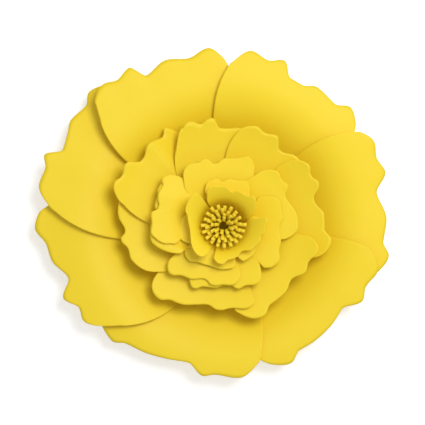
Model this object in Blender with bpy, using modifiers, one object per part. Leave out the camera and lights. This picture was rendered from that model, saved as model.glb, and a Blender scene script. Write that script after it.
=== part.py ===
"""A giant paper flower: rings of cut card petals lapped over one another round a fringed, rolled stamen.

The flower lies on its back, face up. The origin is the middle of the base card's back face.
Lengths are in metres and bearings in degrees, measured anticlockwise from +X as seen from the front.
"""
import math
from dataclasses import dataclass

import bmesh
import bpy
from mathutils import Vector

MM = 0.001

# The card, and the clear air left between two sheets that lie on each other
CARD = 0.35 * MM
GAP = 0.3 * MM

# The base card that everything is stuck to
BASE_RADIUS = 44 * MM
BASE_SIDES = 48

# How far each size of petal reaches from the axis, before its own share
OUTER_REACH = 146 * MM
MIDDLE_REACH = 86 * MM
SMALL_REACH = 60 * MM
INNER_REACH = 40 * MM
HEART_REACH = 35 * MM

# Where the stuck-down seat of each size of petal begins
OUTER_SEAT = 15 * MM
MIDDLE_SEAT = 12 * MM
SMALL_SEAT = 10 * MM
INNER_SEAT = 7 * MM
HEART_SEAT = 6 * MM

# How much higher each ring of petals climbs than the ring behind it, and the shares of its reach
# between which it does so
OUTER_RISE = 22 * MM
MIDDLE_RISE = 17 * MM
SMALL_RISE = 15 * MM
INNER_RISE = 12 * MM
HEART_RISE = 8 * MM
OUTER_CLIMB = (0.34, 0.8)
MIDDLE_CLIMB = (0.19, 0.6)
SMALL_CLIMB = (0.27, 0.6)
INNER_CLIMB = (0.28, 0.62)
HEART_CLIMB = (0.3, 0.74)

# How far each ring then falls back at its reach, and the share of its reach from which it does so
OUTER_FALL = 3 * MM
MIDDLE_FALL = 10 * MM
SMALL_FALL = 9 * MM
INNER_FALL = 8 * MM
HEART_FALL = 5 * MM
OUTER_TIP = 0.8
MIDDLE_TIP = 0.6
SMALL_TIP = 0.5
INNER_TIP = 0.48
HEART_TIP = 0.5

# How far the free edge of a petal stands off the petal that it laps over, out at its reach
OUTER_LIFT = 7 * MM
MIDDLE_LIFT = 4.5 * MM
SMALL_LIFT = 3 * MM
INNER_LIFT = 2.5 * MM
HEART_LIFT = 2 * MM

# Shares of the lift that cup a petal's sides up and curl its tip back
CUP_SHARE = 0.3
CURL_SHARE = 0.5
CURL_START = 0.72

# Half widths of a petal: at its seat, and where it is widest
SEAT_HALF = 33
SIDE_HALF = 41
HEART_SIDE_HALF = 48
WIDEST = 0.45

# Every petal bends along the same circles, so that lapped sheets stay parallel: how much wider than the
# stamen's roll the first one is, the growth from one to the next, and how much wider than a petal's
# seat its first bend is. Near its cut edge, from this share of its ring's shortest side, a petal's
# rows follow that edge instead.
ROLL_CLEARANCE = 1.04
BEND_GROWTH = 1.5
SEAT_CLEARANCE = 1.1
SHOULDER = 0.95
EDGE_ROWS = (0.55, 1.0)

# The edges that the petals are cut to: degrees off the petal's centre line, and share of its reach
WIDE_EDGE = (
    (-30, 0.84), (-25, 0.925), (-17, 1.0), (-10, 0.952), (-5, 0.958),
    (6.5, 0.918), (12, 0.992), (17, 0.967), (23.5, 0.992), (30, 0.90),
)
CUP_EDGE = (
    (-38, 0.80), (-27, 1.0), (-14, 0.925), (1, 0.85), (9, 0.905), (17, 0.925), (26, 0.95), (38, 0.77),
)

# The stamen: a long strip, fringed along one edge and rolled up. The cut strips lean outward, in
# degrees, further from the core of the roll to its rim, and the tip of each one curls over.
FRINGE_WIDTH = 3 * MM
FRINGE_LENGTH = 24 * MM
FRINGE_TAPER = 0.06
FRINGE_CORE_LEAN = 0
FRINGE_RIM_LEAN = 25
TIP_LENGTH = 5 * MM
TIP_CURL = 62
TIP_ROWS = 3
ROLL_BAND = 16 * MM
ROLL_START = 3 * MM
ROLL_TURNS = 4
ROLL_PITCH = 1.75 * MM

CARD_COLOUR = (0.94, 0.68, 0.05, 1.0)
CARD_ROUGHNESS = 0.55


@dataclass
class Petal:
    """One petal as it was bent and stuck down."""

    bearing: float  # where its centre line points
    share: float  # its length, as a share of the ring's reach
    spread: float  # its width, as a share of the cut shape's
    lean: float  # how much further one corner reaches than the other
    bow: float  # how much further both corners reach than the middle
    side: float = 1.0  # its widest half, as a share of the cut shape's


@dataclass
class Ring:
    """Petals of one size, stuck down one after another so that each laps the one before."""

    name: str
    edge: tuple
    first_seat: float
    seat: float
    reach: float
    rise: float
    climb: tuple
    fall: float
    tip: float
    lift: float
    side_half: float
    columns: int
    petals: list

    @property
    def pitch(self):
        return 360 / len(self.petals)

    @property
    def rim_half(self):
        return self.edge[-1][0]

    def seat_bearing(self, number):
        return self.first_seat - self.pitch * number


RINGS = [
    Ring(
        name="outer_petal", edge=WIDE_EDGE, first_seat=102.5, seat=OUTER_SEAT, reach=OUTER_REACH,
        rise=OUTER_RISE, climb=OUTER_CLIMB, fall=OUTER_FALL, tip=OUTER_TIP, lift=OUTER_LIFT,
        side_half=SIDE_HALF, columns=12, petals=[
            Petal(110.5, 1.053, 0.91, 0.084, -0.087),
            Petal(58.3, 1.006, 0.97, 0.041, 0.01),
            Petal(5.6, 0.987, 1.02, 0.037, -0.007),
            Petal(-44.3, 0.904, 1.18, 0.047, 0.016),
            Petal(-112.9, 0.895, 1.26, -0.049, 0.103, side=1.15),
            Petal(-164.8, 1.045, 0.88, -0.154, 0.0),
            Petal(-211.4, 1.117, 0.90, 0.018, -0.22, side=0.93),
        ],
    ),
    Ring(
        name="middle_petal", edge=WIDE_EDGE, first_seat=93.5, seat=MIDDLE_SEAT, reach=MIDDLE_REACH,
        rise=MIDDLE_RISE, climb=MIDDLE_CLIMB, fall=MIDDLE_FALL, tip=MIDDLE_TIP, lift=MIDDLE_LIFT,
        side_half=SIDE_HALF, columns=10, petals=[
            Petal(86.5, 1.0, 1.05, 0.29, -0.38, side=1.14),
            Petal(47.0, 1.015, 1.15, 0.07, -0.164, side=1.06),
            Petal(10.2, 1.016, 1.07, -0.06, 0.12),
            Petal(-44.9, 0.927, 1.25, -0.03, 0.1),
            Petal(-105.5, 0.867, 1.28, -0.098, 0.108),
            Petal(-183.0, 1.04, 1.25, -0.098, -0.22, side=1.07),
            Petal(-222.5, 1.09, 1.05, 0.15, -0.25, side=1.05),
        ],
    ),
    Ring(
        name="small_petal", edge=CUP_EDGE, first_seat=87.0, seat=SMALL_SEAT, reach=SMALL_REACH,
        rise=SMALL_RISE, climb=SMALL_CLIMB, fall=SMALL_FALL, tip=SMALL_TIP, lift=SMALL_LIFT,
        side_half=SIDE_HALF, columns=8, petals=[
            Petal(95.5, 1.028, 0.98, 0.015, -0.084),
            Petal(21.2, 1.12, 1.0, 0.059, -0.33),
            Petal(-5.8, 0.929, 1.15, -0.029, -0.099),
            Petal(-87.9, 0.976, 1.05, 0.029, -0.049),
            Petal(-108.6, 0.944, 1.08, -0.099, -0.092),
            Petal(-191.5, 1.13, 1.2, 0.024, -0.44),
            Petal(-195.5, 1.07, 0.94, 0.033, -0.24),
        ],
    ),
    Ring(
        name="inner_petal", edge=CUP_EDGE, first_seat=71.0, seat=INNER_SEAT, reach=INNER_REACH,
        rise=INNER_RISE, climb=INNER_CLIMB, fall=INNER_FALL, tip=INNER_TIP, lift=INNER_LIFT,
        side_half=SIDE_HALF, columns=6, petals=[
            Petal(83.0, 1.06, 0.98, -0.05, -0.2),
            Petal(-25.5, 0.949, 1.08, 0.03, -0.098),
            Petal(-109.5, 1.036, 1.08, -0.054, -0.111),
            Petal(-180.5, 0.96, 0.92, 0.0, -0.2),
        ],
    ),
    Ring(
        name="heart_petal", edge=CUP_EDGE, first_seat=65.0, seat=HEART_SEAT, reach=HEART_REACH,
        rise=HEART_RISE, climb=HEART_CLIMB, fall=HEART_FALL, tip=HEART_TIP, lift=HEART_LIFT,
        side_half=HEART_SIDE_HALF, columns=8, petals=[
            Petal(70.7, 0.983, 1.29, 0.023, 0.0),
            Petal(-48.5, 0.93, 1.54, 0.11, 0.11, side=1.2),
            Petal(-173.2, 0.965, 1.45, -0.029, 0.0),
        ],
    ),
]


def ease(share):
    """A smooth step from 0 to 1."""
    share = min(max(share, 0.0), 1.0)
    return share * share * (3 - 2 * share)


def through(points, place):
    """A smooth line through points that never overshoots them, read at one place."""
    place = min(max(place, points[0][0]), points[-1][0])
    slopes = [(b[1] - a[1]) / (b[0] - a[0]) for a, b in zip(points, points[1:])]
    tangents = [slopes[0]]
    for before, after in zip(slopes, slopes[1:]):
        same_way = before * after > 0
        tangents.append(2 * before * after / (before + after) if same_way else 0.0)
    tangents.append(slopes[-1])
    for number, (start, end) in enumerate(zip(points, points[1:])):
        if place <= end[0]:
            width = end[0] - start[0]
            share = (place - start[0]) / width
            step = ease(share)
            leave = share * (1 - share) ** 2 * width * tangents[number]
            arrive = -share * share * (1 - share) * width * tangents[number + 1]
            return start[1] + (end[1] - start[1]) * step + leave + arrive
    return points[-1][1]


def climb_share(ring, radius):
    """How far up its climb a ring is at a radius."""
    foot, crest = ring.climb
    share = (radius / ring.reach - foot) / (crest - foot)
    return min(max(share, 0.0), 1.0)


def steepness(level, radius):
    """How steeply the petals of a ring climb at a radius."""
    slope = 0.0
    for ring in RINGS[:level + 1]:
        share = climb_share(ring, radius)
        length = (ring.climb[1] - ring.climb[0]) * ring.reach
        slope += ring.rise * 6 * share * (1 - share) / length
    return slope


def tip_fall(ring, radius):
    """How far a ring has fallen back at a radius: slowly at first, then straight on beyond its reach."""
    share = max((radius / ring.reach - ring.tip) / (1 - ring.tip), 0.0)
    return ring.fall * (share * share if share < 1 else 2 * share - 1)


def spacing(level, radius):
    """The upright distance between two sheets that lie on each other at a radius."""
    return (CARD + GAP) * math.hypot(1, steepness(level, radius))


def spare_lift(level, radius):
    """What a petal stands off the one beneath it, beyond lying on it."""
    ring = RINGS[level]
    return ring.lift * (radius / ring.reach) ** 2


def lap(level, radius):
    """The height that a ring's lapped petals gain over one petal's pitch."""
    return spacing(level, radius) + spare_lift(level, radius)


def corner_reach(ring, petal):
    """The radius at which a petal's side turns into its cut edge."""
    return ring.reach * petal.share * ring.edge[0][1]


def share_along(ring, petal, radius):
    """How far a radius is along a petal, from its seat (0) to the corners of its cut edge (1)."""
    share = (radius - ring.seat) / (corner_reach(ring, petal) - ring.seat)
    return min(max(share, 0.0), 1.0)


def petal_half(ring, petal, along):
    """Half of a petal's width in degrees, at a share of its length."""
    side_half = ring.side_half * petal.side
    if along < WIDEST:
        return SEAT_HALF + (side_half - SEAT_HALF) * ease(along / WIDEST)
    towards_rim = (along - WIDEST) / (1 - WIDEST)
    return side_half + (ring.rim_half * petal.spread - side_half) * towards_rim ** 2


def swing(level, radius):
    """How many pitches the petals of a ring reach round from their seats at a radius, at most."""
    ring = RINGS[level]
    widest = 0.0
    for number, petal in enumerate(ring.petals):
        along = share_along(ring, petal, radius)
        turned = abs(petal.bearing - ring.seat_bearing(number)) * ease(along)
        widest = max(widest, turned + petal_half(ring, petal, along))
    return widest / ring.pitch


def side_lift(level, radius):
    """How far a ring's sheets reach above and below their middle height at a radius."""
    return swing(level, radius) * lap(level, radius)


def height(level, radius):
    """The middle height of a ring's petals at a radius: each ring stands clear of the one behind it."""
    ring = RINGS[level]
    own = ring.rise * ease(climb_share(ring, radius)) - tip_fall(ring, radius)
    own += side_lift(level, radius) + CURL_SHARE * spare_lift(level, radius)
    if level == 0:
        return CARD + GAP + CARD / 2 + own
    behind = height(level - 1, radius) + side_lift(level - 1, radius)
    behind += CUP_SHARE * spare_lift(level - 1, radius)
    return behind + spacing(level, radius) + own


def petal_edge(ring, petal, across):
    """The reach of a petal's cut edge, from one corner (-1) to the other (1)."""
    off = across * ring.rim_half
    turn = math.radians(off * petal.spread)
    share = petal.share * through(ring.edge, off)
    return ring.reach * (share + petal.lean * turn + petal.bow * turn * turn)


def petal_point(level, number, across, along, radius):
    """A point of a petal's middle sheet: across it from -1 to 1, along it from 0 to 1."""
    ring = RINGS[level]
    petal = ring.petals[number]
    seat = ring.seat_bearing(number)
    bearing = seat + (petal.bearing - seat) * ease(along) + across * petal_half(ring, petal, along)
    spare = spare_lift(level, radius)
    curl = max((along - CURL_START) / (1 - CURL_START), 0.0) ** 2
    rise = height(level, radius) + lap(level, radius) * (bearing - seat) / ring.pitch
    rise += spare * (CUP_SHARE * across * across - CURL_SHARE * curl)
    angle = math.radians(bearing)
    return Vector((radius * math.cos(angle), radius * math.sin(angle), rise))


def roll_radius(turned):
    """How far the stamen's rolled strip has grown from the axis, after this much turning."""
    return ROLL_START + ROLL_PITCH * turned / math.tau


def first_bend():
    """The innermost circle that the petals bend along, just outside the stamen's roll."""
    return roll_radius(ROLL_TURNS * math.tau) * ROLL_CLEARANCE


def bend_circles(ring):
    """The radii of a ring's rows: its seat, then the circles that all the rings bend along."""
    shoulder = SHOULDER * min(corner_reach(ring, petal) for petal in ring.petals)
    radii = [ring.seat]
    circle = first_bend()
    while circle < shoulder:
        if circle > ring.seat * SEAT_CLEARANCE:
            radii.append(circle)
        circle *= BEND_GROWTH
    return radii


def petal_rows(level, number):
    """Rows of points from a petal's seat to its cut edge, which has twice as many points as the rest."""
    ring = RINGS[level]
    petal = ring.petals[number]
    rows = []
    for radius in bend_circles(ring):
        along = share_along(ring, petal, radius)
        across = [2 * column / ring.columns - 1 for column in range(ring.columns + 1)]
        rows.append([petal_point(level, number, each, along, radius) for each in across])
    shoulder = bend_circles(ring)[-1]
    shoulder_along = share_along(ring, petal, shoulder)
    for outward in EDGE_ROWS:
        columns = ring.columns * 2
        along = shoulder_along + (1 - shoulder_along) * outward
        row = []
        for column in range(columns + 1):
            across = 2 * column / columns - 1
            radius = shoulder + (petal_edge(ring, petal, across) - shoulder) * outward
            row.append(petal_point(level, number, across, along, radius))
        rows.append(row)
    return rows


def add_sheet(name, vertices, faces, material, collection):
    """An open sheet of faces made into card by a Solidify modifier."""
    mesh = bpy.data.meshes.new(name)
    mesh.from_pydata(vertices, [], faces)
    mesh.materials.append(material)
    mesh.shade_smooth()
    sheet = bpy.data.objects.new(name, mesh)
    collection.objects.link(sheet)
    card = sheet.modifiers.new("card", "SOLIDIFY")
    card.thickness = CARD
    card.offset = 0
    return sheet


def add_petal(level, number, material, collection):
    """A petal lofted through its rows, in triangles, so that both of its faces fold the same way."""
    vertices = []
    rows = []
    for row in petal_rows(level, number):
        rows.append(range(len(vertices), len(vertices) + len(row)))
        vertices += row
    faces = []
    for near, far in zip(rows, rows[1:]):
        step = (len(far) - 1) // (len(near) - 1)
        for column in range(len(near) - 1):
            left, right = near[column], near[column + 1]
            beyond = far[column * step:column * step + step + 1]
            faces.append((beyond[1], beyond[0], left))
            faces.append((right, beyond[1], left))
            if step == 2:
                faces.append((beyond[2], beyond[1], right))
    return add_sheet(f"{RINGS[level].name}_{number + 1}", vertices, faces, material, collection)


def roll_point(turned, rise):
    radius = roll_radius(turned)
    return Vector((radius * math.cos(turned), radius * math.sin(turned), rise))


def strip_length(turned):
    """How much of the strip is rolled up after this much turning."""
    return ROLL_START * turned + ROLL_PITCH * turned * turned / (2 * math.tau)


def fringe_pairs(left, right, lean):
    """Left and right points of one cut strip of the fringe, from above its root to its tip."""
    middle = (left + right) / 2
    outward = Vector((middle.x, middle.y, 0)).normalized()
    straight = FRINGE_LENGTH - TIP_LENGTH
    for row in range(TIP_ROWS + 1):
        curled = math.radians(TIP_CURL) * row / TIP_ROWS
        bend = TIP_LENGTH / math.radians(TIP_CURL)
        over = bend * (1 - math.cos(curled))
        along = straight + bend * math.sin(curled)
        out = over * math.cos(lean) + along * math.sin(lean)
        up = along * math.cos(lean) - over * math.sin(lean)
        share = (straight + TIP_LENGTH * row / TIP_ROWS) / FRINGE_LENGTH
        half = (right - left) / 2 * (1 - FRINGE_TAPER * share)
        centre = middle + outward * out + Vector((0, 0, up))
        yield centre - half, centre + half


def add_stamen(material, collection):
    """One strip rolled into a spiral, its fringe leaning further outward from turn to turn."""
    last_ring = len(RINGS) - 1
    whole_roll = ROLL_TURNS * math.tau
    seat = height(last_ring, first_bend()) + side_lift(last_ring, first_bend()) + CARD / 2 + GAP
    root = seat + ROLL_BAND
    vertices = [roll_point(0, seat), roll_point(0, root)]
    faces = []
    turned = 0.0
    foot = 0
    while turned < whole_roll:
        onward = turned + FRINGE_WIDTH / roll_radius(turned)
        share = strip_length(turned) / strip_length(whole_roll)
        lean = FRINGE_CORE_LEAN + (FRINGE_RIM_LEAN - FRINGE_CORE_LEAN) * share
        next_foot = len(vertices)
        vertices += [roll_point(onward, seat), roll_point(onward, root)]
        faces.append((foot, foot + 1, next_foot + 1, next_foot))
        left, right = foot + 1, next_foot + 1
        for pair in fringe_pairs(roll_point(turned, root), roll_point(onward, root), math.radians(lean)):
            faces.append((left, len(vertices), len(vertices) + 1, right))
            left, right = len(vertices), len(vertices) + 1
            vertices += pair
        turned = onward
        foot = next_foot
    return add_sheet("stamen", vertices, faces, material, collection)


def add_base_card(material, collection):
    mesh = bpy.data.meshes.new("base_card")
    shape = bmesh.new()
    bmesh.ops.create_cone(
        shape, cap_ends=True, segments=BASE_SIDES, radius1=BASE_RADIUS, radius2=BASE_RADIUS, depth=CARD,
    )
    shape.to_mesh(mesh)
    shape.free()
    mesh.materials.append(material)
    base = bpy.data.objects.new("base_card", mesh)
    base.location.z = CARD / 2
    collection.objects.link(base)
    return base


def card_material(name):
    material = bpy.data.materials.new(name)
    material.use_nodes = True
    shader = material.node_tree.nodes["Principled BSDF"]
    shader.inputs["Base Color"].default_value = CARD_COLOUR
    shader.inputs["Roughness"].default_value = CARD_ROUGHNESS
    shader.inputs["Metallic"].default_value = 0.0
    return material


def main():
    for old in list(bpy.data.objects):
        bpy.data.objects.remove(old, do_unlink=True)
    flower = bpy.data.collections.new("giant_paper_flower")
    bpy.context.scene.collection.children.link(flower)
    add_base_card(card_material("base_card"), flower)
    for level, ring in enumerate(RINGS):
        card = card_material(ring.name)
        for number in range(len(ring.petals)):
            add_petal(level, number, card, flower)
    add_stamen(card_material("stamen"), flower)


main()
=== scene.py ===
import math

import bmesh
import bpy
import numpy as np
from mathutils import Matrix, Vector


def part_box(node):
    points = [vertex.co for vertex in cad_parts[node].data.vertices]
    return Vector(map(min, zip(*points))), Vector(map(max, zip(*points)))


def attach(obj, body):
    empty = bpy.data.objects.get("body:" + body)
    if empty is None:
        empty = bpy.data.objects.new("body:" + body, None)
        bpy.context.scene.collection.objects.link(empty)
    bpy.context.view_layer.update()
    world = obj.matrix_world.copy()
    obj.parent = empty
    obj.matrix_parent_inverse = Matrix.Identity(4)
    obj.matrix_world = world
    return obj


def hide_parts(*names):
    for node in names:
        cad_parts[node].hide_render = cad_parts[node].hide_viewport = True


# A giant paper flower of yellow card, lying face up on a white floor.
# Lengths are in metres. Bearings are in degrees, anticlockwise from +X as seen from the front.

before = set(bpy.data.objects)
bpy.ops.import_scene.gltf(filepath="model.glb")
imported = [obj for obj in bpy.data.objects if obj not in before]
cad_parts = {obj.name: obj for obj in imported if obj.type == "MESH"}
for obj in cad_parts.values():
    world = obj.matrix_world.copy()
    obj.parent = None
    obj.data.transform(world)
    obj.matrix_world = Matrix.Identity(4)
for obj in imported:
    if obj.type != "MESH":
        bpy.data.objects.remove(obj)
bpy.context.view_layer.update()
mm = 0.001
print("frame loaded:", len(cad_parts), "nodes")


cameraSettings = {
    "place": (-8.8 * mm, 10.4 * mm, 1.6),
    "lens": 158.0,        # mm, on a 36 mm sensor: the photograph's framing at this distance
    "sensor": 36.0,
}

stageSettings = {
    "floorSize": 8.0,
    "floorDrop": 0.4 * mm,     # the floor lies just below the base card
    "floorColour": (0.86, 0.86, 0.86, 1.0),
    "floorRoughness": 0.9,
    "floorGlow": 0.45,         # what the floor adds for the eye, so that its open parts read as white
    "skyColour": (1.0, 1.0, 1.0, 1.0),
    "skyLight": 0.52,
    "lampPlace": (0.31, 0.34, 1.02),
    "lampAim": (0.0, 0.0, 0.03),
    "lampSize": 0.52,
    "lampPower": 7.2,
}


def lookAt(item, target):
    # Turns a lamp or camera, which face down their own -Z, towards a place
    away = np.array(item.location) - np.array(target)
    flat = math.hypot(away[0], away[1])
    item.rotation_euler = (math.atan2(flat, away[2]), 0.0, math.atan2(away[0], -away[1]))


camera = bpy.data.objects.new("camera", bpy.data.cameras.new("camera"))
camera.data.lens = cameraSettings["lens"]
camera.data.sensor_width = cameraSettings["sensor"]
camera.location = cameraSettings["place"]
bpy.context.scene.collection.objects.link(camera)
bpy.context.scene.camera = camera
bpy.context.scene.view_settings.view_transform = "Standard"

lamp = bpy.data.objects.new("keyLamp", bpy.data.lights.new("keyLamp", "AREA"))
lamp.data.shape = "DISK"
lamp.data.size = stageSettings["lampSize"]
lamp.data.energy = stageSettings["lampPower"]
lamp.location = stageSettings["lampPlace"]
lookAt(lamp, stageSettings["lampAim"])
bpy.context.scene.collection.objects.link(lamp)


class NodeHand:
    # Adds nodes to one tree. What is fed in as a socket is linked, anything else is set.
    def __init__(self, tree):
        self.tree = tree
        self.count = 0

    def add(self, kind, feed=None, **settings):
        node = self.tree.nodes.new(kind)
        node.location = (190 * (self.count // 4), -210 * (self.count % 4))  # in columns of four
        self.count += 1
        for name, value in settings.items():
            setattr(node, name, value)
        for key, value in (feed or {}).items():
            self.put(node.inputs[key], value)
        return node

    def put(self, target, value):
        if isinstance(value, bpy.types.NodeSocket):
            self.tree.links.new(value, target)
        else:
            target.default_value = value

    def math(self, operation, *values, kind="ShaderNodeMath"):
        node = self.add(kind, dict(enumerate(values)), operation=operation)
        return node.outputs[0]

    def vector(self, operation, *values):
        return self.math(operation, *values, kind="ShaderNodeVectorMath")

    def combine(self, x, y, z):
        return self.add("ShaderNodeCombineXYZ", {0: x, 1: y, 2: z}).outputs[0]

    def ramp(self, value, fromLow, fromHigh, toLow=0.0, toHigh=1.0, smooth=True):
        way = "SMOOTHSTEP" if smooth else "LINEAR"
        feed = {0: value, 1: fromLow, 2: fromHigh, 3: toLow, 4: toHigh}
        return self.add("ShaderNodeMapRange", feed, interpolation_type=way).outputs[0]

    def mixColour(self, share, first, second):
        node = self.add("ShaderNodeMix", {0: share, 6: first, 7: second}, data_type="RGBA")
        return node.outputs[2]

    def named(self, name):
        node = self.add("GeometryNodeInputNamedAttribute", {"Name": name}, data_type="FLOAT")
        return node.outputs["Attribute"]


def addSockets(tree, inputs, outputs):
    for way, sockets in (("INPUT", inputs), ("OUTPUT", outputs)):
        for name, kind, value in sockets:
            socket = tree.interface.new_socket(name=name, in_out=way, socket_type="NodeSocket" + kind)
            if value is not None:
                socket.default_value = value


def newTree(name, kind, inputs, outputs):
    tree = bpy.data.node_groups.new(name, kind)
    addSockets(tree, inputs, outputs)
    hand = NodeHand(tree)
    return hand, hand.add("NodeGroupInput").outputs


def thicken(hand, sheet, card):
    # Gives an open sheet its thickness, half to each side, and marks the cut edges for the material
    normal = hand.add("GeometryNodeInputNormal").outputs[0]
    sink = hand.vector("SCALE", normal)
    hand.put(sink.node.inputs["Scale"], hand.math("MULTIPLY", card, -0.5))
    back = hand.add("GeometryNodeSetPosition", {"Geometry": sheet, "Offset": sink}).outputs[0]
    front = hand.add("GeometryNodeExtrudeMesh", {"Mesh": back, "Offset Scale": card, "Individual": False})
    mark = hand.add(
        "GeometryNodeStoreNamedAttribute",
        {"Geometry": front.outputs["Mesh"], "Name": "cutEdge", "Value": front.outputs["Side"]},
        data_type="FLOAT", domain="FACE",
    )
    turned = hand.add("GeometryNodeFlipFaces", {"Mesh": back}).outputs[0]
    both = hand.add("GeometryNodeJoinGeometry")
    hand.tree.links.new(turned, both.inputs[0])
    hand.tree.links.new(mark.outputs[0], both.inputs[0])
    joints = {"Geometry": both.outputs[0], "Distance": petalSettings["weld"]}
    closed = hand.add("GeometryNodeMergeByDistance", joints)
    smooth = hand.add("GeometryNodeSetShadeSmooth", {"Geometry": closed.outputs[0], "Shade Smooth": True})
    isEdge = hand.math("GREATER_THAN", hand.named("cutEdge"), 0.5)
    flat = hand.add("GeometryNodeSetShadeSmooth", {"Geometry": smooth.outputs[0], "Shade Smooth": False})
    hand.put(flat.inputs["Selection"], isEdge)
    return flat.outputs[0]


def endTree(hand, geometry, material):
    real = hand.add("GeometryNodeRealizeInstances", {"Geometry": geometry}).outputs[0]
    dressed = hand.add("GeometryNodeSetMaterial", {"Geometry": real, "Material": material}).outputs[0]
    hand.add("NodeGroupOutput", {0: dressed})


def growPiece(name, blank, tree, values, node):
    # Runs a tree on a blank, keeps the result as a plain mesh and puts it in a CAD node's place
    grower = bpy.data.objects.new(name + "Blank", blank)
    bpy.context.scene.collection.objects.link(grower)
    modifier = grower.modifiers.new("grow", "NODES")
    modifier.node_group = tree
    sockets = {item.name: item.identifier for item in tree.interface.items_tree if item.in_out == "INPUT"}
    for key, value in values.items():
        modifier[sockets[key]] = value
    ready = grower.evaluated_get(bpy.context.evaluated_depsgraph_get())
    mesh = bpy.data.meshes.new_from_object(ready)
    bpy.data.objects.remove(grower)
    mesh.name = name
    piece = bpy.data.objects.new(name, mesh)
    bpy.context.scene.collection.objects.link(piece)
    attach(piece, "root")
    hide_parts(node)
    return piece


yellowCard = (0.87, 0.642, 0.02, 1.0)
# The paler edge colour is partly the card's cut core and partly a painted highlight along the rims
yellowEdgeAndHighlight = (0.89, 0.67, 0.03, 1.0)


def makeCardSurface():
    # Uncoated card: fine felt-like grain, faint clouding, and a slightly paler line along its cut edges,
    # partly the card's paler cut core and partly a painted highlight where the rims catch the light
    inputs = [
        ("Card Colour", "Color", yellowCard),
        ("Edge And Highlight Colour", "Color", yellowEdgeAndHighlight),
        ("Edge Line", "Float", 0.25 * mm),
        ("Edge Share", "Float", 0.75),
        ("Grain Size", "Float", 0.5 * mm),
        ("Grain Depth", "Float", 0.02 * mm),
        ("Felt Scale", "Float", 260.0),
        ("Felt Share", "Float", 1.4),
        ("Cloud Scale", "Float", 34.0),
        ("Clouding", "Float", 0.03),
        ("Roughness Base", "Float", 0.55),
        ("Roughness Spread", "Float", 0.16),
    ]
    outputs = [("Colour", "Color", None), ("Roughness", "Float", None), ("Normal", "Vector", None)]
    hand, given = newTree("cardSurface", "ShaderNodeTree", inputs, outputs)
    place = hand.add("ShaderNodeTexCoord").outputs["Object"]
    fineScale = hand.math("DIVIDE", 1.0, given["Grain Size"])
    fineFeed = {"Vector": place, "Scale": fineScale, "Detail": 3.0, "Roughness": 0.6}
    fine = hand.add("ShaderNodeTexNoise", fineFeed)
    feltFeed = {"Vector": place, "Scale": given["Felt Scale"], "Detail": 4.0, "Roughness": 0.55}
    felt = hand.add("ShaderNodeTexNoise", feltFeed)
    cloudFeed = {"Vector": place, "Scale": given["Cloud Scale"], "Detail": 3.0, "Roughness": 0.5}
    cloud = hand.add("ShaderNodeTexNoise", cloudFeed)
    cut = hand.add("ShaderNodeAttribute", attribute_name="cutEdge", attribute_type="GEOMETRY")
    rim = hand.add("ShaderNodeAttribute", attribute_name="rim", attribute_type="GEOMETRY")
    # A thin paler band on the faces next to the rim, with the cut faces: partly the card's paler core,
    # partly a painted highlight
    nearRim = hand.ramp(rim.outputs["Fac"], 0.0, given["Edge Line"], given["Edge Share"], 0.0)
    paleCoreAndHighlightMask = hand.math("MAXIMUM", cut.outputs["Fac"], nearRim)
    swing = hand.math("MULTIPLY", hand.math("SUBTRACT", cloud.outputs[0], 0.5), given["Clouding"])
    speck = hand.math("MULTIPLY", hand.math("SUBTRACT", fine.outputs[0], 0.5), given["Clouding"])
    bright = hand.math("ADD", 1.0, hand.math("ADD", swing, speck))
    clouded = hand.vector("SCALE", given["Card Colour"])
    hand.put(clouded.node.inputs["Scale"], bright)
    colour = hand.mixColour(paleCoreAndHighlightMask, clouded, given["Edge And Highlight Colour"])
    uneven = hand.math("MULTIPLY", hand.math("SUBTRACT", felt.outputs[0], 0.5), given["Roughness Spread"])
    rough = hand.math("ADD", given["Roughness Base"], uneven)
    relief = hand.math("ADD", fine.outputs[0], hand.math("MULTIPLY", felt.outputs[0], given["Felt Share"]))
    bump = hand.add("ShaderNodeBump", {"Strength": 1.0, "Distance": given["Grain Depth"], "Height": relief})
    hand.add("NodeGroupOutput", {0: colour, 1: rough, 2: bump.outputs[0]})
    return hand.tree


cardSurface = makeCardSurface()

# The stamen carries no distance to a rim, so its narrow strips take mostly its edge colour, which is set
# close to its card colour
cardLooks = {
    "outerPetal": {"Card Colour": yellowCard},
    "middlePetal": {"Card Colour": yellowCard},
    "smallPetal": {"Card Colour": yellowCard},
    "innerPetal": {"Card Colour": yellowCard},
    "heartPetal": {"Card Colour": yellowCard},
    "stamen": {"Card Colour": (0.88, 0.65, 0.02, 1.0), "Edge And Highlight Colour": (0.88, 0.66, 0.03, 1.0)},
    "baseCard": {"Card Colour": yellowCard},
}


def cardMaterial(name, values):
    material = bpy.data.materials.new(name + "Card")
    material.use_nodes = True
    hand = NodeHand(material.node_tree)
    surface = hand.add("ShaderNodeGroup", node_tree=cardSurface)
    for key, value in values.items():
        surface.inputs[key].default_value = value
    shader = material.node_tree.nodes["Principled BSDF"]
    shader.inputs["Specular IOR Level"].default_value = 0.3  # uncoated card shines little
    hand.put(shader.inputs["Base Color"], surface.outputs["Colour"])
    hand.put(shader.inputs["Roughness"], surface.outputs["Roughness"])
    hand.put(shader.inputs["Normal"], surface.outputs["Normal"])
    return material


cardMaterials = {name: cardMaterial(name, values) for name, values in cardLooks.items()}
print("card materials made:", len(cardMaterials))


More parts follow.
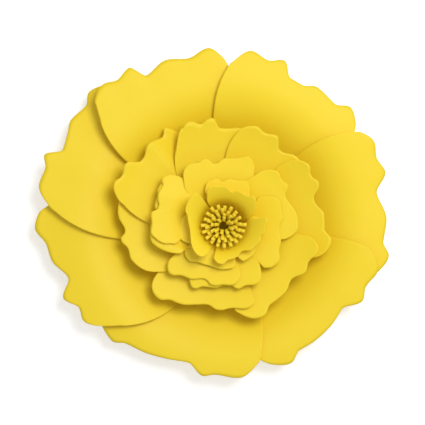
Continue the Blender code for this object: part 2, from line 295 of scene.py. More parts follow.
# Each ring: the bearing where its first petal is stuck down, its seat and reach, how it climbs and falls
# back between shares of its reach, the lift of its free edges, and half of a petal's width in degrees.
# Its dips are the petals that hang lower, or stand higher where the depth is below zero: the depth in
# millimetres, and where across the petal it starts and is full, from -1 at the clockwise side to 1. One
# that runs from 2 to 1 takes in the whole petal.
# Each petal: bearing, share of the ring's reach, share of its widest half, and the edge it was cut to,
# in degrees off its centre line and millimetres from the flower's axis.
petalRings = [
    {
        "name": "outerPetal", "node": "outer_petal", "firstSeat": 102.5, "seat": 15 * mm, "reach": 146 * mm,
        "rise": 22 * mm, "foot": 0.34, "crest": 0.8, "tipDrop": 3 * mm, "tipStart": 0.8,
        "lift": 7 * mm, "sideHalf": 41, "dips": {7: [(6, 0.3, -0.3)]},
        "petals": [
            (110.5, 1.053, 1, [
                (-27.3, 120.4), (-23.4, 131.4), (-20.2, 142.1), (-15.7, 149.7), (-8.7, 143.4), (-1.2, 147),
                (6.6, 141.3), (10.5, 154.1), (15.5, 150.8), (20.1, 155.3), (25.1, 150.4), (27.3, 141.3)]),
            (58.3, 1.006, 1, [
                (-29.1, 120.7), (-24.7, 131.4), (-20.8, 141.2), (-15.7, 146.4), (-11.1, 139), (-2.7, 140.7),
                (2.1, 135.5), (7, 136.1), (11.2, 147.7), (16.2, 143.6), (22.3, 148.2), (29.1, 135.6)]),
            (5.6, 0.987, 1, [
                (-30.6, 117.9), (-26.6, 128), (-22.3, 137), (-16.4, 142.5), (-11.6, 136.1), (-3.5, 138),
                (6.1, 132.3), (12.7, 143.9), (17.8, 141.1), (23.3, 145.1), (28.2, 139.8), (30.6, 132.3)]),
            (-44.3, 0.904, 1, [
                (-35.4, 107.5), (-32.2, 114.3), (-26.5, 124.7), (-19.4, 130.1), (-14.2, 124), (-7.2, 124.9),
                (0.7, 124.7), (9, 122.9), (16, 133.9), (20.6, 131), (27.9, 135.9), (31.9, 131.8),
                (35.4, 123.9)]),
            (-112.9, 0.895, 1.15, [
                (-37.8, 121), (-30.5, 130.2), (-26.1, 133.9), (-20.7, 135.7), (-16.3, 129.5), (-8.2, 126.3),
                (-0.3, 122.8), (8.8, 119.8), (15.4, 128.5), (19.9, 126.4), (29.2, 129.5), (37.8, 119.4)]),
            (-164.8, 1.045, 1, [
                (-26.4, 138.5), (-22.4, 145.7), (-18.9, 155.8), (-14.3, 158.8), (-8.8, 150.1),
                (-3.4, 147.7), (3.9, 138), (9.5, 148.1), (14.9, 140), (19, 142.6), (24.5, 133.5),
                (26.4, 127)]),
            (-211.4, 1.117, 0.93, [
                (-27, 128.6), (-17.5, 156.4), (-13.3, 159.8), (-9.5, 153.7), (-3.1, 156.2), (0.8, 152.5),
                (6.4, 149.4), (10, 161.6), (13.7, 157), (18.9, 158.4), (25.2, 147.1), (27, 140.9)]),
        ],
    },
    {
        "name": "middlePetal", "node": "middle_petal", "firstSeat": 93.5, "seat": 10 * mm, "reach": 86 * mm,
        "rise": 18.5 * mm, "foot": 0.11, "crest": 0.279, "tipDrop": 13 * mm, "tipStart": 0.55,
        "lift": 4.5 * mm, "sideHalf": 41,
        "dips": {4: [(-4, 2, 1)], 5: [(-4, 2, 1)], 6: [(-4, 2, 1)], 7: [(-4, 2, 1), (11, -0.1, -0.6)]},
        "petals": [
            (86.5, 1, 1.18, [
                (-33, 48.7), (-7, 82.6), (1.7, 81), (4.7, 81.2), (6.1, 82.5), (8.1, 89), (9.4, 90.1),
                (12.2, 89.3), (15.5, 86.5), (16.9, 86.9), (19.7, 90), (23, 90.6), (24.7, 89.3),
                (25.3, 87.9), (26.6, 87.8), (28.6, 86), (33, 77.9)]),
            (47, 1.015, 1.08, [
                (-35.4, 64.6), (-17.2, 78.6), (-9.7, 83.6), (-6.8, 84.4), (-3, 83.8), (3.6, 79.1),
                (5.8, 78.9), (11.8, 87.2), (18.5, 84.7), (24, 87.2), (26.1, 86.6), (30.9, 83.5),
                (32.4, 81.8), (35.4, 75.6)]),
            (11.7, 1.016, 1, [
                (-31.7, 81.1), (-28.6, 86.7), (-26.2, 89.1), (-21.5, 91.4), (-19.4, 91.3), (-14, 85.1),
                (-5.8, 85.1), (2.3, 79.4), (4.5, 79.4), (10.8, 87.1), (12.8, 87.5), (16.6, 84.7),
                (18.5, 84.7), (22.3, 87.5), (24.4, 87.2), (28.2, 84.1), (31.7, 78.5)]),
            (-44.9, 0.927, 1, [
                (-36.8, 73), (-28.9, 81.2), (-26.2, 82.9), (-23.3, 83.5), (-20.7, 83.3), (-14.3, 77.7),
                (-2.1, 76.8), (6.4, 73.4), (9, 74.5), (13.4, 78.6), (15.9, 79.6), (20.8, 78), (23.4, 78.8),
                (27.9, 81.9), (30.7, 82.1), (33.1, 80.5), (36.8, 74.5)]),
            (-105.6, 0.867, 1, [
                (-38.2, 67.5), (-36.2, 74.6), (-32.9, 79.8), (-29.4, 81.8), (-27.1, 82.2), (-24.6, 81.8),
                (-19.6, 77), (-11.7, 75), (-3.1, 70.7), (5, 68.1), (11.5, 71.3), (14.2, 71.5), (21.1, 70.1),
                (32.3, 72.7), (36.7, 71), (38.2, 69.1)]),
            (-183, 1.04, 1.07, [
                (-37.3, 72.5), (-16, 86.4), (-10, 89.4), (-5.1, 88.9), (-0.8, 87.3), (3.6, 83.4), (6, 82.2),
                (7.7, 82.6), (10.3, 86.2), (12, 86.1), (16, 82.5), (17.9, 81.8), (22.7, 82.3), (25.1, 81.4),
                (32.6, 76.1), (37.3, 70)]),
            (-222.5, 1.09, 1.05, [
                (-31.5, 65.2), (-21, 88), (-16.2, 95.1), (-14.6, 91.7), (-12.7, 89.7), (-5.8, 91.9),
                (-3.8, 91.5), (2.4, 87.1), (4.6, 87.1), (6, 88.6), (9.2, 95.2), (10.7, 96.1), (15.7, 93.8),
                (17.6, 94.3), (20.8, 97.1), (22.8, 96.7), (28.4, 90.7), (31.5, 84)]),
        ],
    },
    {
        "name": "smallPetal", "node": "small_petal", "firstSeat": 87.0, "seat": 9 * mm, "reach": 60 * mm,
        "rise": 11 * mm, "foot": 0.142, "crest": 0.333, "tipDrop": 7 * mm, "tipStart": 0.5,
        "lift": 3 * mm, "sideHalf": 41, "dips": {6: [(-5, -0.95, -0.25)], 7: [(-5, -0.9, -0.2)]},
        "petals": [
            (95.7, 1.028, 1.13, [
                (-37.2, 47.9), (-34.8, 54.3), (-32.7, 57), (-26.5, 61), (-24.1, 60.6), (-20.6, 58.2),
                (-16.7, 56.9), (-12.6, 55.8), (-8.3, 55.9), (0.8, 51.6), (3.5, 51.9), (7.2, 56),
                (9.5, 57.3), (12.1, 57.3), (14.4, 55.9), (23.6, 57.9), (26.8, 57.4), (29.6, 56.2),
                (37.2, 47.8)]),
            (22.9, 1.12, 1, [
                (-35.5, 53.8), (-30.5, 59.7), (-25.2, 62.9), (-17.6, 62.7), (1.1, 57.4), (3.4, 58.3),
                (8, 63.4), (10.1, 63.5), (12.3, 62.2), (15.3, 62), (20, 63.7), (25.6, 61.5), (28.1, 59.5),
                (32.2, 53.8), (35.5, 46)]),
            (-4.3, 0.929, 1, [
                (-42.2, 49.5), (-35.8, 54.4), (-28.3, 55.8), (-18.8, 51.1), (-11.1, 50.4), (0.2, 47.2),
                (4.2, 47.3), (10.9, 50.6), (18.6, 50.3), (24.2, 51.4), (29.6, 50.7), (37.1, 44.6),
                (42.2, 38)]),
            (-87.2, 0.976, 1, [
                (-40.6, 44.2), (-34.2, 53.7), (-31.3, 56.9), (-28.7, 58.4), (-25.7, 57.9), (-22.4, 54.9),
                (-18.2, 53.6), (-9.2, 52.9), (-1.9, 50.5), (5.6, 51.3), (8.7, 54), (11.2, 55), (17, 54.1),
                (27.1, 56.8), (30.6, 55.9), (33.3, 53.7), (38.9, 46.9), (40.6, 43.6)]),
            (-109, 0.944, 1, [
                (-39.8, 46.8), (-37.5, 54.5), (-31.9, 59.6), (-29.3, 60.3), (-26.5, 59.6), (-21.4, 55.3),
                (-18.1, 53.9), (-12.4, 52.8), (-0.4, 47.8), (2.9, 48.2), (7.7, 51), (11.5, 51.1),
                (19, 49.9), (27.5, 50.8), (30.5, 50.2), (36.8, 46.4), (38.6, 43.4), (39.8, 37.5)]),
            (-191.4, 1.13, 1, [
                (-45.7, 36.4), (-27.7, 56.5), (-23.7, 62.2), (-16.7, 61.9), (-13.2, 60.1), (-5.7, 59.4),
                (-2.6, 58.5), (-1.7, 57), (7.4, 59.8), (23.2, 61.4), (28.8, 58.6), (31.9, 56.1),
                (43.7, 44.5), (45.7, 41.4)]),
            (-195.5, 1.07, 1, [
                (-35.7, 45.5), (-31.9, 55.5), (-25.4, 63), (-22.3, 63.9), (-20.3, 62.7), (-18.1, 60.1),
                (-11.7, 60.1), (-5.5, 58.1), (-1.8, 55.9), (1.8, 56.2), (5.6, 60.6), (14.7, 59.2),
                (21.1, 60.4), (26.9, 57), (32.5, 51.5), (35.7, 45.1)]),
        ],
    },
    {
        "name": "innerPetal", "node": "inner_petal", "firstSeat": 71.0, "seat": 7 * mm, "reach": 40 * mm,
        "rise": 6 * mm, "foot": 0.175, "crest": 0.475, "tipDrop": 4 * mm, "tipStart": 0.55,
        "lift": 2.5 * mm, "sideHalf": 41, "dips": {1: [(3, 2, 1)], 3: [(4, 2, 1)], 4: [(4, 2, 1)]},
        "petals": [
            (83, 1.06, 1, [
                (-37.2, 31), (-29, 38), (-21.5, 41.6), (-11.5, 39), (-0.3, 38.6), (8.4, 36.2), (14.5, 39),
                (26.3, 37.9), (34.2, 32.5), (37.2, 28)]),
            (-25.5, 0.949, 1, [
                (-41, 27.5), (-34.6, 34.7), (-20.9, 35.3), (-7, 33.8), (7.5, 32.1), (20.2, 34), (33.4, 33),
                (41, 27.1)]),
            (-109.5, 1.036, 1, [
                (-41, 32.4), (-33.9, 40.1), (-24.7, 41.4), (-13.8, 37.5), (2.1, 35.9), (18.2, 37.1),
                (32.4, 36.8), (41, 28.1)]),
            (-180.5, 0.96, 1, [
                (-35, 27.7), (-18.9, 31), (-7.6, 35.3), (1.8, 36.2), (9, 39.1), (15.4, 38.8), (20.1, 37.1),
                (30.3, 31.7), (35, 27)]),
        ],
    },
    {
        "name": "heartPetal", "node": "heart_petal", "firstSeat": 65.0, "seat": 6 * mm, "reach": 35 * mm,
        "rise": 6 * mm, "foot": 0.486, "crest": 1.08, "tipDrop": 0 * mm, "tipStart": 0.8,
        "lift": 2 * mm, "sideHalf": 48, "dips": {3: [(-5, 2, 1)]},
        "petals": [
            (70.4, 0.983, 1.2, [
                (-49.5, 25.6), (-39, 31.9), (-30.1, 34.6), (-26.2, 34.5), (-19.8, 31.1), (-5.4, 31.1),
                (4.6, 28.3), (8.2, 28.8), (18.3, 32.3), (25.7, 32.1), (32.6, 33.6), (42.9, 31.6),
                (49.5, 26.8)]),
            (-47.8, 0.93, 1.2, [
                (-58.5, 28.4), (-48.3, 32), (-42.4, 32.2), (-34.2, 29.2), (-18.7, 28.8), (-8.6, 26.8),
                (-4.7, 27), (7.6, 31.3), (14.5, 31.6), (24.4, 33.2), (31.5, 32.2), (36.8, 34.5),
                (47.9, 35.5), (53.1, 36.9), (58.5, 36.1)]),
            (-175.4, 0.965, 1.18, [
                (-57, 31.4), (-55.4, 34.2), (-51.4, 35.3), (-34.8, 34.6), (-26.4, 33.6), (-18.8, 30.4),
                (3.9, 27.7), (43.3, 32.3), (48.6, 32), (53.7, 30.1), (57, 26.3)]),
        ],
    },
]

petalSettings = {
    "card": 0.35 * mm,
    "gap": 0.3 * mm,
    "rounding": 4.5 * mm,   # the rings' heights are evened out over this to each side
    "roundingSteps": 9,
    "fallLength": 1.3,      # a tip falls back over this many times the way from its start to its reach
    "dipStart": 0.35,       # the share along a petal where a dip begins, and how much further it is full
    "dipLength": 0.5,
    "cup": 0.3,             # the sides stand up by this share of the lift, the tip curls back by the next
    "curl": 0.25,
    "curlStart": 0.72,
    "seatHalf": 33,         # degrees
    "widest": 0.45,         # the share along a petal where it is widest
    # The share of a petal's reach where its side meets its cut edge
    "cornerShare": {
        "outerPetal": 0.84, "middlePetal": 0.84, "smallPetal": 0.8, "innerPetal": 0.8, "heartPetal": 0.8,
    },
    "shoulder": 0.8,        # beyond this share of its shortest side, a petal's rows follow its cut edge
    "columns": 96,
    "innerRows": 26,
    "rimRows": 14,
    "ripple": 0.05,         # share of the lift
    "rippleSize": 2.2,      # a larger number makes finer ripples
    "weld": 0.002 * mm,
}


def ease(share):
    share = np.clip(share, 0.0, 1.0)
    return share * share * (3 - 2 * share)


def through(points, place):
    # A smooth line through points that never overshoots them
    x, y = np.array(points, float).T
    slopes = np.diff(y) / np.diff(x)
    sameWay = slopes[:-1] * slopes[1:] > 0
    total = np.where(sameWay, slopes[:-1] + slopes[1:], 1.0)
    inner = np.where(sameWay, 2 * slopes[:-1] * slopes[1:] / total, 0.0)
    tangents = np.concatenate([slopes[:1], inner, slopes[-1:]])
    place = np.clip(place, x[0], x[-1])
    at = np.clip(np.searchsorted(x, place) - 1, 0, len(x) - 2)
    width = x[at + 1] - x[at]
    share = (place - x[at]) / width
    leave = share * (1 - share) ** 2 * width * tangents[at]
    arrive = -share * share * (1 - share) * width * tangents[at + 1]
    return y[at] + (y[at + 1] - y[at]) * ease(share) + leave + arrive


def pitchOf(ring):
    return 360 / len(ring["petals"])


def climbShare(ring, radius):
    # How far up its climb a ring's petals are at a radius, between two shares of their reach
    share = (radius / ring["reach"] - ring["foot"]) / (ring["crest"] - ring["foot"])
    return np.clip(share, 0.0, 1.0)


def spacing(level, radius):
    # How far one sheet stands above the next that it laps: more where the rings up to this one climb steeply
    slope = 0.0
    for ring in petalRings[:level + 1]:
        share = climbShare(ring, radius)
        climb = (ring["crest"] - ring["foot"]) * ring["reach"]
        slope = slope + ring["rise"] * 6 * share * (1 - share) / climb
    return petalSettings["card"] * np.hypot(1, slope) + petalSettings["gap"]


def spareLift(level, radius):
    # The extra room between lapped sheets for their cup, curl and ripple
    return petalRings[level]["lift"] * (radius / petalRings[level]["reach"]) ** 2


def lapRise(level, radius):
    # How far a petal that is turned by one whole place would stand above its neighbour
    return spacing(level, radius) + spareLift(level, radius)


def cornerReach(ring, petal):
    return ring["reach"] * petal[1] * petalSettings["cornerShare"][ring["name"]]


def shareAlong(ring, petal, radius):
    # 0 at a petal's seat, 1 from its corners on
    corner = cornerReach(ring, petal)
    return np.clip((radius - ring["seat"]) / (corner - ring["seat"]), 0.0, 1.0)


def petalHalf(ring, petal, along):
    # Half of a petal's width in degrees
    widest = petalSettings["widest"]
    sideHalf = ring["sideHalf"] * petal[2]
    rimHalf = petal[3][-1][0]
    near = petalSettings["seatHalf"] + (sideHalf - petalSettings["seatHalf"]) * ease(along / widest)
    far = sideHalf + (rimHalf - sideHalf) * np.maximum((along - widest) / (1 - widest), 0.0) ** 2
    return np.where(along < widest, near, far)


def sideLift(level, radius):
    # How far the laps of a ring reach above and below its middle height
    ring = petalRings[level]
    most = 0.0
    for number, petal in enumerate(ring["petals"]):
        along = shareAlong(ring, petal, radius)
        seat = ring["firstSeat"] - pitchOf(ring) * number
        most = np.maximum(most, abs(petal[0] - seat) * ease(along) + petalHalf(ring, petal, along))
    return most / pitchOf(ring) * lapRise(level, radius)


def tipFall(ring, radius):
    # How far a ring's petals have fallen back at a radius, all of it by a little beyond their reach
    share = (radius / ring["reach"] - ring["tipStart"]) / (1 - ring["tipStart"])
    return ring["tipDrop"] * ease(share / petalSettings["fallLength"])


def ringHeight(level, radius):
    # The middle height of a ring's petals: each ring stands clear of the one behind it
    ring = petalRings[level]
    own = ring["rise"] * ease(climbShare(ring, radius)) - tipFall(ring, radius) + sideLift(level, radius)
    own = own + petalSettings["curl"] * spareLift(level, radius)
    if level == 0:
        return petalSettings["card"] * 1.5 + petalSettings["gap"] + own
    behind = ringHeight(level - 1, radius) + sideLift(level - 1, radius)
    behind = behind + petalSettings["cup"] * spareLift(level - 1, radius)
    return behind + spacing(level, radius) + own


def roundedHeight(level, radius):
    # The same height without sharp turns: its mean over a few millimetres to each side
    reach = petalSettings["rounding"]
    steps = np.linspace(-reach, reach, petalSettings["roundingSteps"])
    return np.mean([ringHeight(level, np.maximum(radius + step, 0.0)) for step in steps], 0)


def petalBlank(level, number):
    # The petal before it is bent: a grid with x its radius, y its bearing and z its ring's height there
    ring = petalRings[level]
    petal = ring["petals"][number]
    s = petalSettings
    across = np.linspace(-1, 1, s["columns"] + 1)
    edge = through(petal[3], across * petal[3][-1][0]) * mm
    shoulder = s["shoulder"] * min(cornerReach(ring, petal), edge.min())
    radius, along = [], []
    for share in np.linspace(0, 1, s["innerRows"] + 1):
        row = ring["seat"] + (shoulder - ring["seat"]) * share
        radius.append(np.full_like(across, row))
        along.append(np.full_like(across, shareAlong(ring, petal, row)))
    for share in np.linspace(0, 1, s["rimRows"] + 1)[1:]:
        radius.append(shoulder + (edge - shoulder) * share)
        along.append(along[s["innerRows"]] * (1 - share) + share)
    radius, along = np.array(radius), np.array(along)
    across = np.broadcast_to(across, radius.shape)
    seat = ring["firstSeat"] - pitchOf(ring) * number
    half = petalHalf(ring, petal, along)
    off = (petal[0] - seat) * ease(along) + across * half
    toSide = np.radians((1 - np.abs(across)) * half) * radius
    rim = np.minimum(np.minimum(edge - radius, toSide), radius - ring["seat"])
    dip = 0.0
    for depth, fromPlace, toPlace in ring["dips"].get(number + 1, []):
        dip = dip + depth * mm * ease((fromPlace - across) / (fromPlace - toPlace))
    dip = dip * ease((along - s["dipStart"]) / s["dipLength"])
    rows, columns = radius.shape
    corners = np.arange(rows * columns).reshape(rows, columns)
    faces = np.stack([corners[:-1, :-1], corners[1:, :-1], corners[1:, 1:], corners[:-1, 1:]], -1)
    points = np.stack([radius, np.radians(seat + off), roundedHeight(level, radius) - dip], -1)
    blank = bpy.data.meshes.new("petalBlank")
    blank.from_pydata(points.reshape(-1, 3).tolist(), [], faces.reshape(-1, 4).tolist())
    fields = {
        "across": across, "along": along, "lapTurn": off / pitchOf(ring), "rim": rim,
        "lapRise": lapRise(level, radius), "spareLift": spareLift(level, radius),
    }
    for name, values in fields.items():
        blank.attributes.new(name, "FLOAT", "POINT").data.foreach_set("value", values.ravel())
    return blank


def makePetalTree():
    # Bends a flat blank round the flower's axis, cups it, curls its tip back and gives it its thickness
    inputs = [
        ("Blank", "Geometry", None),
        ("Card", "Float", petalSettings["card"]),
        ("Cup", "Float", petalSettings["cup"]),
        ("Curl", "Float", petalSettings["curl"]),
        ("Curl Start", "Float", petalSettings["curlStart"]),
        ("Ripple", "Float", petalSettings["ripple"]),
        ("Ripple Size", "Float", petalSettings["rippleSize"]),
        ("Seed", "Float", 0.0),
        ("Material", "Material", None),
    ]
    hand, given = newTree("bendPetal", "GeometryNodeTree", inputs, [("Petal", "Geometry", None)])
    flat = hand.add("ShaderNodeSeparateXYZ", {0: hand.add("GeometryNodeInputPosition").outputs[0]}).outputs
    across, along, spare = hand.named("across"), hand.named("along"), hand.named("spareLift")
    lapped = hand.math("MULTIPLY", hand.named("lapRise"), hand.named("lapTurn"))
    cup = hand.math("MULTIPLY", hand.math("MULTIPLY", across, across), given["Cup"])
    curlShare = hand.ramp(along, given["Curl Start"], 1.0, smooth=False)
    curl = hand.math("MULTIPLY", hand.math("POWER", curlShare, 2.0), given["Curl"])
    seedPlace = hand.combine(across, along, given["Seed"])
    noiseFeed = {"Vector": seedPlace, "Scale": given["Ripple Size"], "Detail": 1.0}
    noise = hand.add("ShaderNodeTexNoise", noiseFeed)
    ripple = hand.math("MULTIPLY", hand.math("SUBTRACT", noise.outputs[0], 0.5), given["Ripple"])
    bent = hand.math("ADD", hand.math("SUBTRACT", cup, curl), ripple)
    z = hand.math("ADD", hand.math("ADD", flat[2], lapped), hand.math("MULTIPLY", spare, bent))
    x = hand.math("MULTIPLY", flat[0], hand.math("COSINE", flat[1]))
    y = hand.math("MULTIPLY", flat[0], hand.math("SINE", flat[1]))
    bend = {"Geometry": given["Blank"], "Position": hand.combine(x, y, z)}
    sheet = hand.add("GeometryNodeSetPosition", bend)
    endTree(hand, thicken(hand, sheet.outputs[0], given["Card"]), given["Material"])
    return hand.tree


bendPetal = makePetalTree()
for level, ring in enumerate(petalRings):
    for number in range(len(ring["petals"])):
        growPiece(
            ring["name"] + str(number + 1), petalBlank(level, number), bendPetal,
            {"Seed": level * 10.0 + number, "Material": cardMaterials[ring["name"]]},
            f"{ring['node']}_{number + 1}",
        )
    print("petals bent:", ring["name"], len(ring["petals"]))


stamenSettings = {
    "stripWidth": 3 * mm,
    "stripLength": 24 * mm,
    "tipLength": 9 * mm,    # the end of a strip, which curls outward
    "coreCurl": 50.0,       # degrees, of the first strip and the last
    "rimCurl": 85.0,
    "taper": 0.06,
    "band": 24 * mm,
    "rollStart": 3.0 * mm,
    "rollPitch": 1.75 * mm,
    "strips": 55,
    "stripRows": 16,
    "coreLean": 0.0,        # degrees, of the first strip and the last
    "rimLean": 12.0,
    "leanSpread": 2.5,
    "weld": 0.01 * mm,
    "seed": 7,
}


def makeStamenTree():
    # Cuts a fringe of strips along a band, rolls the band up and bends each strip outward
    s = stamenSettings
    inputs = [
        ("Blank", "Geometry", None),
        ("Strips", "Int", s["strips"]),
        ("Strip Width", "Float", s["stripWidth"]),
        ("Strip Length", "Float", s["stripLength"]),
        ("Taper", "Float", s["taper"]),
        ("Band", "Float", s["band"]),
        ("Roll Start", "Float", s["rollStart"]),
        ("Roll Pitch", "Float", s["rollPitch"]),
        ("Tip Length", "Float", s["tipLength"]),
        ("Core Curl", "Float", math.radians(s["coreCurl"])),
        ("Rim Curl", "Float", math.radians(s["rimCurl"])),
        ("Core Lean", "Float", math.radians(s["coreLean"])),
        ("Rim Lean", "Float", math.radians(s["rimLean"])),
        ("Lean Spread", "Float", math.radians(s["leanSpread"])),
        ("Card", "Float", petalSettings["card"]),
        ("Seat", "Float", 0.0),
        ("Seed", "Int", s["seed"]),
        ("Material", "Material", None),
    ]
    hand, given = newTree("rollFringe", "GeometryNodeTree", inputs, [("Stamen", "Geometry", None)])

    # One strip with its piece of band: u runs across it, v from the band's foot at -1 past the strip's
    # root at 0 to its tip at 1
    gridFeed = {"Size X": 1.0, "Size Y": 2.0, "Vertices X": 3, "Vertices Y": s["stripRows"] * 2 + 1}
    strip = hand.add("GeometryNodeMeshGrid", gridFeed)
    local = hand.add("ShaderNodeSeparateXYZ", {0: hand.add("GeometryNodeInputPosition").outputs[0]}).outputs
    across = hand.math("ADD", local[0], 0.5)
    withU = hand.add(
        "GeometryNodeStoreNamedAttribute", {"Geometry": strip.outputs[0], "Name": "u", "Value": across},
        data_type="FLOAT", domain="POINT",
    )
    withV = hand.add(
        "GeometryNodeStoreNamedAttribute", {"Geometry": withU.outputs[0], "Name": "v", "Value": local[1]},
        data_type="FLOAT", domain="POINT",
    )
    roots = hand.add("GeometryNodePoints", {"Count": given["Strips"]})
    index = hand.add("GeometryNodeInputIndex").outputs[0]
    numbered = hand.add(
        "GeometryNodeStoreNamedAttribute", {"Geometry": roots.outputs[0], "Name": "strip", "Value": index},
        data_type="FLOAT", domain="POINT",
    )
    copyFeed = {"Points": numbered.outputs[0], "Instance": withV.outputs[0]}
    copies = hand.add("GeometryNodeInstanceOnPoints", copyFeed)
    fringe = hand.add("GeometryNodeRealizeInstances", {"Geometry": copies.outputs[0]})

    number, u, v = hand.named("strip"), hand.named("u"), hand.named("v")

    def rolled(place):
        # Where the band is after this many strips: on a spiral that grows by the pitch with each turn
        length = hand.math("MULTIPLY", place, given["Strip Width"])
        inside = hand.math("DIVIDE", hand.math("MULTIPLY", given["Roll Pitch"], length), math.pi)
        inside = hand.math("ADD", hand.math("MULTIPLY", given["Roll Start"], given["Roll Start"]), inside)
        grown = hand.math("SUBTRACT", hand.math("SQRT", inside), given["Roll Start"])
        turned = hand.math("DIVIDE", hand.math("MULTIPLY", grown, math.tau), given["Roll Pitch"])
        radius = hand.math("ADD", given["Roll Start"], grown)
        x = hand.math("MULTIPLY", radius, hand.math("COSINE", turned))
        y = hand.math("MULTIPLY", radius, hand.math("SINE", turned))
        return hand.combine(x, y, 0.0)

    onBand = rolled(hand.math("ADD", number, u))
    left, right = rolled(number), rolled(hand.math("ADD", number, 1.0))
    middle = hand.vector("MULTIPLY", hand.vector("ADD", left, right), (0.5, 0.5, 0.5))
    outward = hand.vector("NORMALIZE", middle)

    # A strip runs straight from its root, then its tip curls over on an arc
    above = hand.math("MAXIMUM", v, 0.0)
    way = hand.math("MULTIPLY", above, given["Strip Length"])
    straight = hand.math("SUBTRACT", given["Strip Length"], given["Tip Length"])
    pastBend = hand.math("MAXIMUM", hand.math("SUBTRACT", way, straight), 0.0)
    share = hand.math("DIVIDE", number, given["Strips"])
    moreCurl = hand.math("MULTIPLY", share, hand.math("SUBTRACT", given["Rim Curl"], given["Core Curl"]))
    tipCurl = hand.math("ADD", given["Core Curl"], moreCurl)
    arcRadius = hand.math("DIVIDE", given["Tip Length"], tipCurl)
    angle = hand.math("DIVIDE", pastBend, arcRadius)
    curledOut = hand.math("MULTIPLY", arcRadius, hand.math("SUBTRACT", 1.0, hand.math("COSINE", angle)))
    curledUp = hand.math("MULTIPLY", arcRadius, hand.math("SINE", angle))
    curledUp = hand.math("ADD", hand.math("MINIMUM", way, straight), curledUp)
    lean = hand.math("MULTIPLY", share, hand.math("SUBTRACT", given["Rim Lean"], given["Core Lean"]))
    chance = hand.add("FunctionNodeRandomValue", {"ID": number, "Seed": given["Seed"]}, data_type="FLOAT")
    hand.put(chance.inputs[2], hand.math("MULTIPLY", given["Lean Spread"], -1.0))
    hand.put(chance.inputs[3], given["Lean Spread"])
    lean = hand.math("ADD", hand.math("ADD", given["Core Lean"], lean), chance.outputs[1])
    sine, cosine = hand.math("SINE", lean), hand.math("COSINE", lean)
    out = hand.math("MULTIPLY", curledOut, cosine)
    out = hand.math("ADD", out, hand.math("MULTIPLY", curledUp, sine))
    up = hand.math("MULTIPLY", curledUp, cosine)
    up = hand.math("SUBTRACT", up, hand.math("MULTIPLY", curledOut, sine))
    narrowing = hand.math("SUBTRACT", 1.0, hand.math("MULTIPLY", given["Taper"], above))
    sideways = hand.math("MULTIPLY", hand.math("SUBTRACT", u, 0.5), narrowing)
    aside = hand.vector("SCALE", hand.vector("SUBTRACT", right, left))
    hand.put(aside.node.inputs["Scale"], sideways)
    push = hand.vector("SCALE", outward)
    hand.put(push.node.inputs["Scale"], out)
    onStrip = hand.vector("ADD", hand.vector("ADD", middle, aside), push)
    isStrip = hand.math("GREATER_THAN", v, 0.001)
    flat = hand.add("ShaderNodeMix", {0: isStrip, 4: onBand, 5: onStrip}, data_type="VECTOR").outputs[1]
    root = hand.math("MULTIPLY", hand.math("ADD", hand.math("MINIMUM", v, 0.0), 1.0), given["Band"])
    z = hand.math("ADD", hand.math("ADD", given["Seat"], root), up)
    place = hand.vector("ADD", flat, hand.combine(0.0, 0.0, z))
    sheet = hand.add("GeometryNodeSetPosition", {"Geometry": fringe.outputs[0], "Position": place})
    joined = hand.add("GeometryNodeMergeByDistance", {"Geometry": sheet.outputs[0], "Distance": s["weld"]})
    endTree(hand, thicken(hand, joined.outputs[0], given["Card"]), given["Material"])
    return hand.tree


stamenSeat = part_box("stamen")[0].z
growPiece(
    "stamenRoll", bpy.data.meshes.new("stamenBlank"), makeStamenTree(),
    {"Seat": stamenSeat, "Material": cardMaterials["stamen"]}, "stamen",
)
print("stamen rolled, strips:", stamenSettings["strips"])


baseSettings = {
    "radius": 44 * mm,
    "sides": 160,
    "bevel": 0.06 * mm,
}


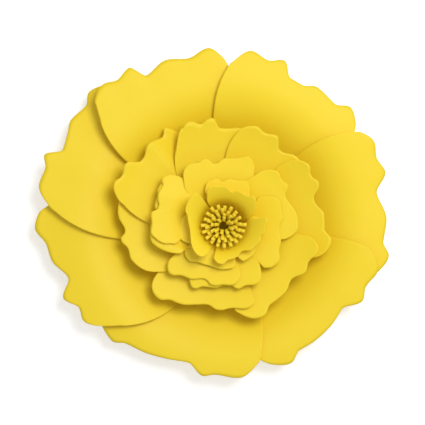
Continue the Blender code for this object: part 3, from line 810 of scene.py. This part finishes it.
def makeBaseCard():
    shape = bmesh.new()
    bmesh.ops.create_cone(
        shape, cap_ends=True, segments=baseSettings["sides"], radius1=baseSettings["radius"],
        radius2=baseSettings["radius"], depth=petalSettings["card"],
    )
    bmesh.ops.translate(shape, verts=shape.verts, vec=(0, 0, petalSettings["card"] / 2))
    rims = [edge for edge in shape.edges if len({len(face.verts) > 4 for face in edge.link_faces}) == 2]
    bmesh.ops.bevel(shape, geom=rims, offset=baseSettings["bevel"], segments=2, affect="EDGES")
    mesh = bpy.data.meshes.new("baseCard")
    shape.to_mesh(mesh)
    shape.free()
    mesh.materials.append(cardMaterials["baseCard"])
    rim = [baseSettings["radius"] - math.hypot(point.co.x, point.co.y) for point in mesh.vertices]
    mesh.attributes.new("rim", "FLOAT", "POINT").data.foreach_set("value", rim)
    base = bpy.data.objects.new("baseCard", mesh)
    bpy.context.scene.collection.objects.link(base)
    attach(base, "root")
    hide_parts("base_card")


makeBaseCard()
print("base card cut")


def eyeOnly(hand):
    # 1 where the camera, a reflection or a clear material looks, 0 for the light that falls on things
    path = hand.add("ShaderNodeLightPath").outputs
    seen = hand.math("MAXIMUM", path["Is Camera Ray"], path["Is Glossy Ray"])
    return hand.math("MAXIMUM", seen, path["Is Transmission Ray"])


def makeStage():
    s = stageSettings
    half = s["floorSize"] / 2
    mesh = bpy.data.meshes.new("floor")
    corners = [(-half, -half, 0), (half, -half, 0), (half, half, 0), (-half, half, 0)]
    mesh.from_pydata(corners, [], [(0, 1, 2, 3)])
    floor = bpy.data.objects.new("floor", mesh)
    floor.location.z = -s["floorDrop"]
    bpy.context.scene.collection.objects.link(floor)
    material = bpy.data.materials.new("floorPaint")
    material.use_nodes = True
    hand = NodeHand(material.node_tree)
    shader = material.node_tree.nodes["Principled BSDF"]
    shader.inputs["Base Color"].default_value = s["floorColour"]
    shader.inputs["Roughness"].default_value = s["floorRoughness"]
    shader.inputs["Emission Color"].default_value = s["skyColour"]
    hand.put(shader.inputs["Emission Strength"], hand.math("MULTIPLY", eyeOnly(hand), s["floorGlow"]))
    mesh.materials.append(material)

    world = bpy.data.worlds.new("studio")
    world.use_nodes = True
    bpy.context.scene.world = world
    hand = NodeHand(world.node_tree)
    back = world.node_tree.nodes["Background"]
    back.inputs["Color"].default_value = s["skyColour"]
    strength = hand.ramp(eyeOnly(hand), 0.0, 1.0, s["skyLight"], 1.0, smooth=False)
    hand.put(back.inputs["Strength"], strength)


makeStage()

print("scene ready")
